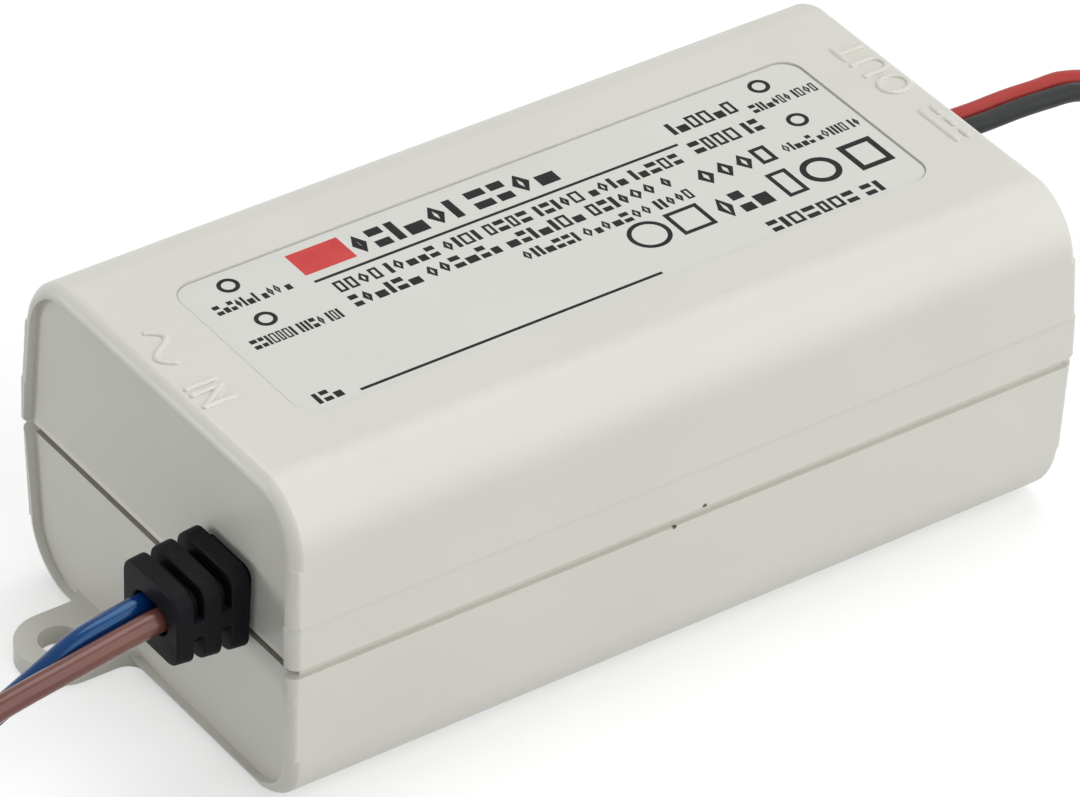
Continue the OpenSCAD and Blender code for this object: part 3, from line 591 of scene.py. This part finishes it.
def joining_group(name, keep_edges):
    """Node group that drops the stored normals, joins the loose triangles and shades them smooth,
    with the sharp edges kept where asked."""
    group = bpy.data.node_groups.new(name, "GeometryNodeTree")
    group.interface.new_socket("Geometry", in_out="INPUT", socket_type="NodeSocketGeometry")
    group.interface.new_socket("Geometry", in_out="OUTPUT", socket_type="NodeSocketGeometry")
    chain = [group.nodes.new("NodeGroupInput")]
    for stored in ("custom_normal", "sharp_edge"):
        chain.append(group.nodes.new("GeometryNodeRemoveAttribute"))
        chain[-1].inputs["Name"].default_value = stored
    chain.append(group.nodes.new("GeometryNodeMergeByDistance"))
    chain[-1].inputs["Distance"].default_value = JOIN_GAP
    chain.append(group.nodes.new("GeometryNodeSetShadeSmooth"))
    if keep_edges:
        turn = group.nodes.new("GeometryNodeInputMeshEdgeAngle")
        sharp = group.nodes.new("FunctionNodeCompare")
        sharp.operation = "GREATER_THAN"
        sharp.inputs["B"].default_value = SHARP_TURN
        group.links.new(turn.outputs["Unsigned Angle"], sharp.inputs["A"])
        chain.append(group.nodes.new("GeometryNodeSetShadeSmooth"))
        chain[-1].domain = "EDGE"
        chain[-1].inputs["Shade Smooth"].default_value = False
        group.links.new(sharp.outputs["Result"], chain[-1].inputs["Selection"])
    chain.append(group.nodes.new("NodeGroupOutput"))
    for a, b in zip(chain, chain[1:]):
        group.links.new(a.outputs["Geometry"], b.inputs["Geometry"])
    return group


def smooth_solid(node, group, edge_width=None):
    """Joined triangles, flat faces made whole, sharp edges rounded to a width where one is given,
    and normals that follow the larger faces."""
    piece = nodes[node]
    piece.modifiers.new("join", "NODES").node_group = group
    whole = piece.modifiers.new("whole_faces", "DECIMATE")
    whole.decimate_type = "DISSOLVE"
    whole.angle_limit = LEVEL_TURN
    if edge_width:
        edge = piece.modifiers.new("round_edges", "BEVEL")
        edge.width = edge_width
        edge.segments = EDGE_SEGMENTS
        edge.limit_method = "ANGLE"
        edge.angle_limit = SHARP_TURN
        edge.use_clamp_overlap = False
    level = piece.modifiers.new("level_faces", "WEIGHTED_NORMAL")
    level.keep_sharp = edge_width is None
    level.weight = FACE_WEIGHT


crisp_group = joining_group("join_crisp", True)
soft_group = joining_group("join_soft", False)
for shell in ("upper_cover", "lower_case"):
    smooth_solid(shell, crisp_group)
for bushing in ("input_bushing", "output_bushing"):
    smooth_solid(bushing, soft_group, BUSHING_EDGE)


# Raised port marks: round ridges on the top, a wave with IN and a line over dashes with OUT
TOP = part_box("upper_cover")[1].z
MARK_HALF_WIDTH = 0.27 * MM
MARK_HEIGHT = 0.22 * MM
MARK_TALL = 2.6
INPUT_MARK_X = 35.1
INPUT_MARK_Y = 6.0
OUTPUT_MARK_X = INPUT_MARK_X + 0.3
OUTPUT_MARK_Y = 7.2
RIDGE_ROUND = 9
RIDGE_END = 6
RIDGE_TIP = 0.98
RIDGE_FOOT = 0.25


def ridge(path):
    """Round ridge along a path in the top's plane: the half-ellipse (w cos t, h sin t) is carried
    square to the path, and shrinks as cos p over a quarter turn past each end."""
    path = np.asarray(path, float) * MM
    ahead = np.gradient(path, axis=0)
    ahead /= np.linalg.norm(ahead, axis=1, keepdims=True)
    p = np.linspace(np.pi / 2 * RIDGE_TIP, 0, RIDGE_END)
    reach = np.concatenate([-np.sin(p), np.zeros(len(path)), np.sin(p[::-1])])
    share = np.concatenate([np.cos(p), np.ones(len(path)), np.cos(p[::-1])])
    row = np.concatenate([np.zeros(RIDGE_END, int), np.arange(len(path)),
                          np.full(RIDGE_END, len(path) - 1)])
    middle = path[row] + MARK_HALF_WIDTH * reach[:, None] * ahead[row]
    across = np.stack([-ahead[row, 1], ahead[row, 0]], axis=1)
    t = np.linspace(-RIDGE_FOOT, np.pi + RIDGE_FOOT, RIDGE_ROUND)[None, :, None]
    flat = middle[:, None] + across[:, None] * MARK_HALF_WIDTH * share[:, None, None] * np.cos(t)
    up = TOP + MARK_HEIGHT * share[:, None, None] * np.sin(t)
    return np.concatenate([flat, up], axis=2)


def marks(name, figures):
    """One piece of several ridges, each closed under its foot."""
    points = []
    faces = []
    start = 0
    for figure in figures:
        grid = ridge(figure)
        points.append(grid.reshape(-1, 3))
        faces.append(grid_faces(*grid.shape[:2]) + start)
        start += grid.shape[0] * grid.shape[1]
    piece = link_mesh(name, np.concatenate(points), np.concatenate(faces), True)
    dress(piece, FINISHES["case"])
    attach(piece, ROOT)


def straight(x0, y0, x1, y1, steps=12):
    """Points of a straight stroke."""
    return np.linspace((x0, y0), (x1, y1), steps)


def port_figures(mark):
    """Strokes of one port's mark and word, with their heights turned into millimetres."""
    return [np.column_stack([stroke[:, 0], stroke[:, 1] * MARK_TALL]) for stroke in mark]


# Strokes: millimetres along the line, then the height as a share of a letter's
along = np.linspace(0, 1, 48)
half_ring = np.pi * along
wave = np.column_stack([4.6 * along, 0.5 + 0.42 * np.sin(2 * half_ring)])
letter_i = straight(8.0, 0, 8.0, 1)
letter_n = [straight(8.9, 0, 8.9, 1), straight(8.9, 1, 10.7, 0), straight(10.7, 0, 10.7, 1)]
direct = [straight(0, 0.72, 4.8, 0.72, 30)]
direct += [straight(x, 0.28, x + 0.9, 0.28) for x in (0.0, 1.95, 3.9)]
letter_o = np.column_stack([9.3 + 1.2 * np.cos(2 * half_ring), 0.5 + 0.5 * np.sin(2 * half_ring)])
bowl = np.column_stack([12.4 - 0.95 * np.cos(half_ring), 0.36 - 0.36 * np.sin(half_ring)])
letter_u = np.vstack([[(11.45, 1.0), (11.45, 0.7)], bowl, [(13.35, 0.7), (13.35, 1.0)]])
letter_t = [straight(14.3, 1, 16.1, 1), straight(15.2, 1, 15.2, 0)]


def place_input(stroke):
    """Line of marks that runs towards -Y with its top towards +X."""
    return np.column_stack([stroke[:, 1] - INPUT_MARK_X - MARK_TALL / 2, INPUT_MARK_Y - stroke[:, 0]])


def place_output(stroke):
    """Line of marks that runs towards +Y with its top towards -X."""
    return np.column_stack([OUTPUT_MARK_X + MARK_TALL / 2 - stroke[:, 1], stroke[:, 0] - OUTPUT_MARK_Y])


input_figures = port_figures([wave, letter_i] + letter_n)
output_figures = port_figures(direct + [letter_o, letter_u] + letter_t)
marks("input_mark", [place_input(f) for f in input_figures])
marks("output_mark", [place_output(f) for f in output_figures])

# Print on the label: rows of plain shapes, rings, rules, boxes and a red field
LABEL_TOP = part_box("rating_label")[1].z
INK_LOW = LABEL_TOP - 0.02 * MM
INK_HIGH = LABEL_TOP + 0.012 * MM
LINE = 0.3
RING = (0.95, 0.58, 48)
# A row's signs: how many to a word, and widths, stroke and gaps as shares of the row's weight
WORD_SIGNS = (3, 8)
SIGN_KINDS = 5
TALL_BLOCK = 4
SIGN_WIDTHS = (1.4, 2.0)
BLOCK_WIDTH = 0.8
SIGN_STROKE = 0.48
SIGN_GAP = 0.5
WORD_GAP = 0.9
# Heights within a sign as shares of its own, and strokes by which a diamond shrinks
LOW_BLOCK = 0.55
SHORT_STROKE = 0.36
DIAMOND_STROKES = 1.4
rng = np.random.default_rng(7)


def upright(corners):
    """Closed prism of each outline, an array of corners anticlockwise, through the ink's thickness."""
    corners = np.asarray(corners, float) * MM
    count = len(corners)
    low = np.column_stack([corners, np.full(count, INK_LOW)])
    high = np.column_stack([corners, np.full(count, INK_HIGH)])
    k = np.arange(count)
    walls = np.stack([k, (k + 1) % count, (k + 1) % count + count, k + count], axis=1)
    faces = walls.tolist() + [(k + count).tolist(), k[::-1].tolist()]
    return np.vstack([low, high]), faces


def bar(x0, y0, x1, y1):
    """Upright rectangle between two corners."""
    return upright([(x0, y0), (x1, y0), (x1, y1), (x0, y1)])


def hollow(out, ins):
    """Closed band between two outlines with the same number of corners."""
    levels = [(out, INK_LOW), (out, INK_HIGH), (ins, INK_HIGH), (ins, INK_LOW)]
    count = len(out)
    loops = [np.column_stack([np.asarray(p) * MM, np.full(count, z)]) for p, z in levels]
    points = np.stack(loops, axis=1)
    return points.reshape(-1, 3), grid_faces(count, len(levels), close_rows=True).tolist()


def band(middle, outer, inner, corners, first=0.0):
    """Closed band between two like outlines of a number of corners: a ring or a square."""
    a = first + np.linspace(0, 2 * np.pi, corners, endpoint=False)
    ring = np.column_stack([np.cos(a), np.sin(a)])
    return hollow(np.array(middle) + outer * ring, np.array(middle) + inner * ring)


def box_line(x0, y0, x1, y1, stroke):
    """Hollow rectangle between two corners, with an even stroke."""
    s = stroke
    return hollow([(x0, y0), (x1, y0), (x1, y1), (x0, y1)],
                  [(x0 + s, y0 + s), (x1 - s, y0 + s), (x1 - s, y1 - s), (x0 + s, y1 - s)])


def diamond_line(x0, y0, x1, y1, stroke):
    """Hollow diamond between two corners: both half-axes shrink by DIAMOND_STROKES strokes."""
    middle = np.array((x0 + x1, y0 + y1)) / 2
    half = np.array((x1 - x0, y1 - y0)) / 2
    turn = np.array([(1, 0), (0, 1), (-1, 0), (0, -1)])
    return hollow(middle + half * turn, middle + (half - DIAMOND_STROKES * stroke) * turn)


def sign(kind, x0, y0, x1, y1, stroke):
    """One plain shape in place of a letter: a hollow box, a hollow diamond, a low block, two short
    strokes or a tall block."""
    tall = y1 - y0
    if kind == 0:
        return [box_line(x0, y0, x1, y1, stroke)]
    if kind == 1:
        return [diamond_line(x0, y0, x1, y1, stroke)]
    if kind == 2:
        return [bar(x0, y0, x1, y0 + LOW_BLOCK * tall)]
    if kind == 3:
        short = SHORT_STROKE * tall
        return [bar(x0, y0, x1, y0 + short), bar(x0, y1 - short, x1, y1)]
    return [bar(x0, y0, x1, y1)]


def row_of_print(x0, x1, y, height, weight):
    """Row that stands for a line of print: plain shapes drawn at random and gathered into words."""
    shapes = []
    x = x0
    while True:
        for _ in range(rng.integers(*WORD_SIGNS)):
            kind = rng.integers(0, SIGN_KINDS)
            width = weight * (BLOCK_WIDTH if kind == TALL_BLOCK else rng.uniform(*SIGN_WIDTHS))
            if x + width > x1:
                return shapes
            shapes += sign(kind, x, y, x + width, y + height, SIGN_STROKE * weight)
            x += width + SIGN_GAP * weight
        x += WORD_GAP * weight


def print_piece(name, shapes, finish):
    """One piece of ink from many closed shapes."""
    points = []
    faces = []
    start = 0
    for shape_points, shape_faces in shapes:
        points.append(shape_points)
        faces += [[start + i for i in face] for face in shape_faces]
        start += len(shape_points)
    piece = link_mesh(name, np.vstack(points), faces, False)
    dress(piece, finish)
    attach(piece, ROOT)


# Places of the rings at the lead ends
RINGS = [(-26.0, 8.1), (-25.95, 2.75), (25.95, 8.05), (25.75, 2.4)]
# Rows of print: first and last x, foot, height and weight of stroke
ROWS = [(-28.8, -21.3, 5.0, 1.3, 0.3), (-28.8, -20.4, -0.4, 1.3, 0.3),
        (-14.8, 5.5, 5.9, 2.6, 0.95), (-19.0, 15.3, 2.45, 1.5, 0.5),
        (-19.0, 12.6, 0.15, 1.6, 0.55), (-4.1, 12.5, -2.0, 1.35, 0.42),
        (16.0, 23.0, 6.0, 1.7, 0.55), (16.0, 23.0, 2.8, 1.7, 0.55),
        (23.4, 30.0, 5.0, 1.2, 0.3), (22.2, 30.0, -1.0, 1.2, 0.3),
        (13.9, 21.3, -1.3, 2.3, 0.8), (12.7, 17.9, -6.0, 2.9, 0.8),
        (14.8, 27.2, -9.5, 1.5, 0.6), (-28.6, -25.4, -9.0, 1.4, 0.5)]
shapes = [band(place, *RING) for place in RINGS]
for row in ROWS:
    shapes += row_of_print(*row)
# Two rules, then plain figures in a row
shapes += [bar(-20.0, 4.65, 15.4, 4.65 + LINE), bar(-24.9, -9.25, 3.9, -9.25 + LINE),
           band((6.1, -4.3), 1.85, 1.45, 64), band((10.1, -4.3), 2.3, 1.75, 4, np.pi / 4),
           box_line(18.7, -6.2, 20.7, -2.6, 0.4), band((23.1, -4.4), 1.75, 1.2, 64),
           box_line(25.9, -6.4, 29.2, -2.6, 0.55)]
print_piece("label_print", shapes, INK)
print_piece("label_field", [bar(-20.1, 5.9, -15.2, 9.0)], RED_INK)


# Floor and studio light
WHITE = (1, 1, 1, 1)
FLOOR_SIZE = 6.0
FLOOR_LEVEL = -0.05 * MM
FLOOR_ROUGH = 0.9
FLOOR_LIFT = 0.5
PAPER_DARK = (0.60, 0.60, 0.60)
PAPER_LIGHT = (0.62, 0.62, 0.62)
PAPER_CLOUD = 30
WORLD_LIGHT = 0.3
# Soft boxes: name, direction from the part, distance, size and power
BOXES = [("front_box", (0.30, -0.80, 0.52), 1.2, 1.6, 12.2),
         ("top_box", (0.24, 0.20, 0.95), 1.2, 0.8, 5.8),
         ("end_box", (-0.75, 0.60, 0.10), 1.2, 0.4, 3.9)]


def seen_directly(tree):
    """1 for a ray from the camera, or one mirrored or let through by a piece, otherwise 0."""
    path = tree.nodes.new("ShaderNodeLightPath").outputs
    either = arithmetic(tree, "MAXIMUM", path["Is Camera Ray"], path["Is Glossy Ray"])
    return arithmetic(tree, "MAXIMUM", either, path["Is Transmission Ray"])


def make_floor():
    """Wide pale sheet under the part: its own light lifts it to white and leaves the shadow."""
    square = np.array([(-1, -1), (1, -1), (1, 1), (-1, 1)]) * FLOOR_SIZE / 2
    corners = np.column_stack([square, np.full(len(square), FLOOR_LEVEL)])
    floor = link_mesh("floor", corners, [range(len(corners))], False)
    finish, tree, shader, place = start_finish("floor_paper")
    shader.inputs["Roughness"].default_value = FLOOR_ROUGH
    shader.inputs["Specular IOR Level"].default_value = 0.0
    paper = blend_colours(tree, noise(tree, place, PAPER_CLOUD), PAPER_DARK, PAPER_LIGHT)
    tree.links.new(paper, shader.inputs["Base Color"])
    shader.inputs["Emission Color"].default_value = WHITE
    lift = arithmetic(tree, "MULTIPLY", seen_directly(tree), FLOOR_LIFT)
    tree.links.new(lift, shader.inputs["Emission Strength"])
    dress(floor, finish)


def make_world():
    """Even white light all round, with plain white where the camera or a mirror sees it."""
    world = bpy.data.worlds.new("studio")
    bpy.context.scene.world = world
    world.use_nodes = True
    tree = world.node_tree
    light = tree.nodes["Background"]
    light.inputs["Color"].default_value = WHITE
    light.inputs["Strength"].default_value = WORLD_LIGHT
    seen = tree.nodes.new("ShaderNodeBackground")
    seen.inputs["Color"].default_value = WHITE
    mix = tree.nodes.new("ShaderNodeMixShader")
    tree.links.new(seen_directly(tree), mix.inputs["Fac"])
    tree.links.new(light.outputs["Background"], mix.inputs[1])
    tree.links.new(seen.outputs["Background"], mix.inputs[2])
    tree.links.new(mix.outputs["Shader"], tree.nodes["World Output"].inputs["Surface"])


def make_lamp(name, direction, distance, size, power):
    """Square soft box at a distance along a direction, turned to the part."""
    data = bpy.data.lights.new(name, "AREA")
    data.size = size
    data.energy = power
    lamp = bpy.data.objects.new(name, data)
    bpy.context.scene.collection.objects.link(lamp)
    away = Vector(direction).normalized()
    lamp.location = away * distance
    lamp.rotation_euler = (-away).to_track_quat("-Z", "Y").to_euler()


make_floor()
make_world()
for box in BOXES:
    make_lamp(*box)
bpy.context.scene.view_settings.view_transform = "Standard"

bpy.context.view_layer.update()
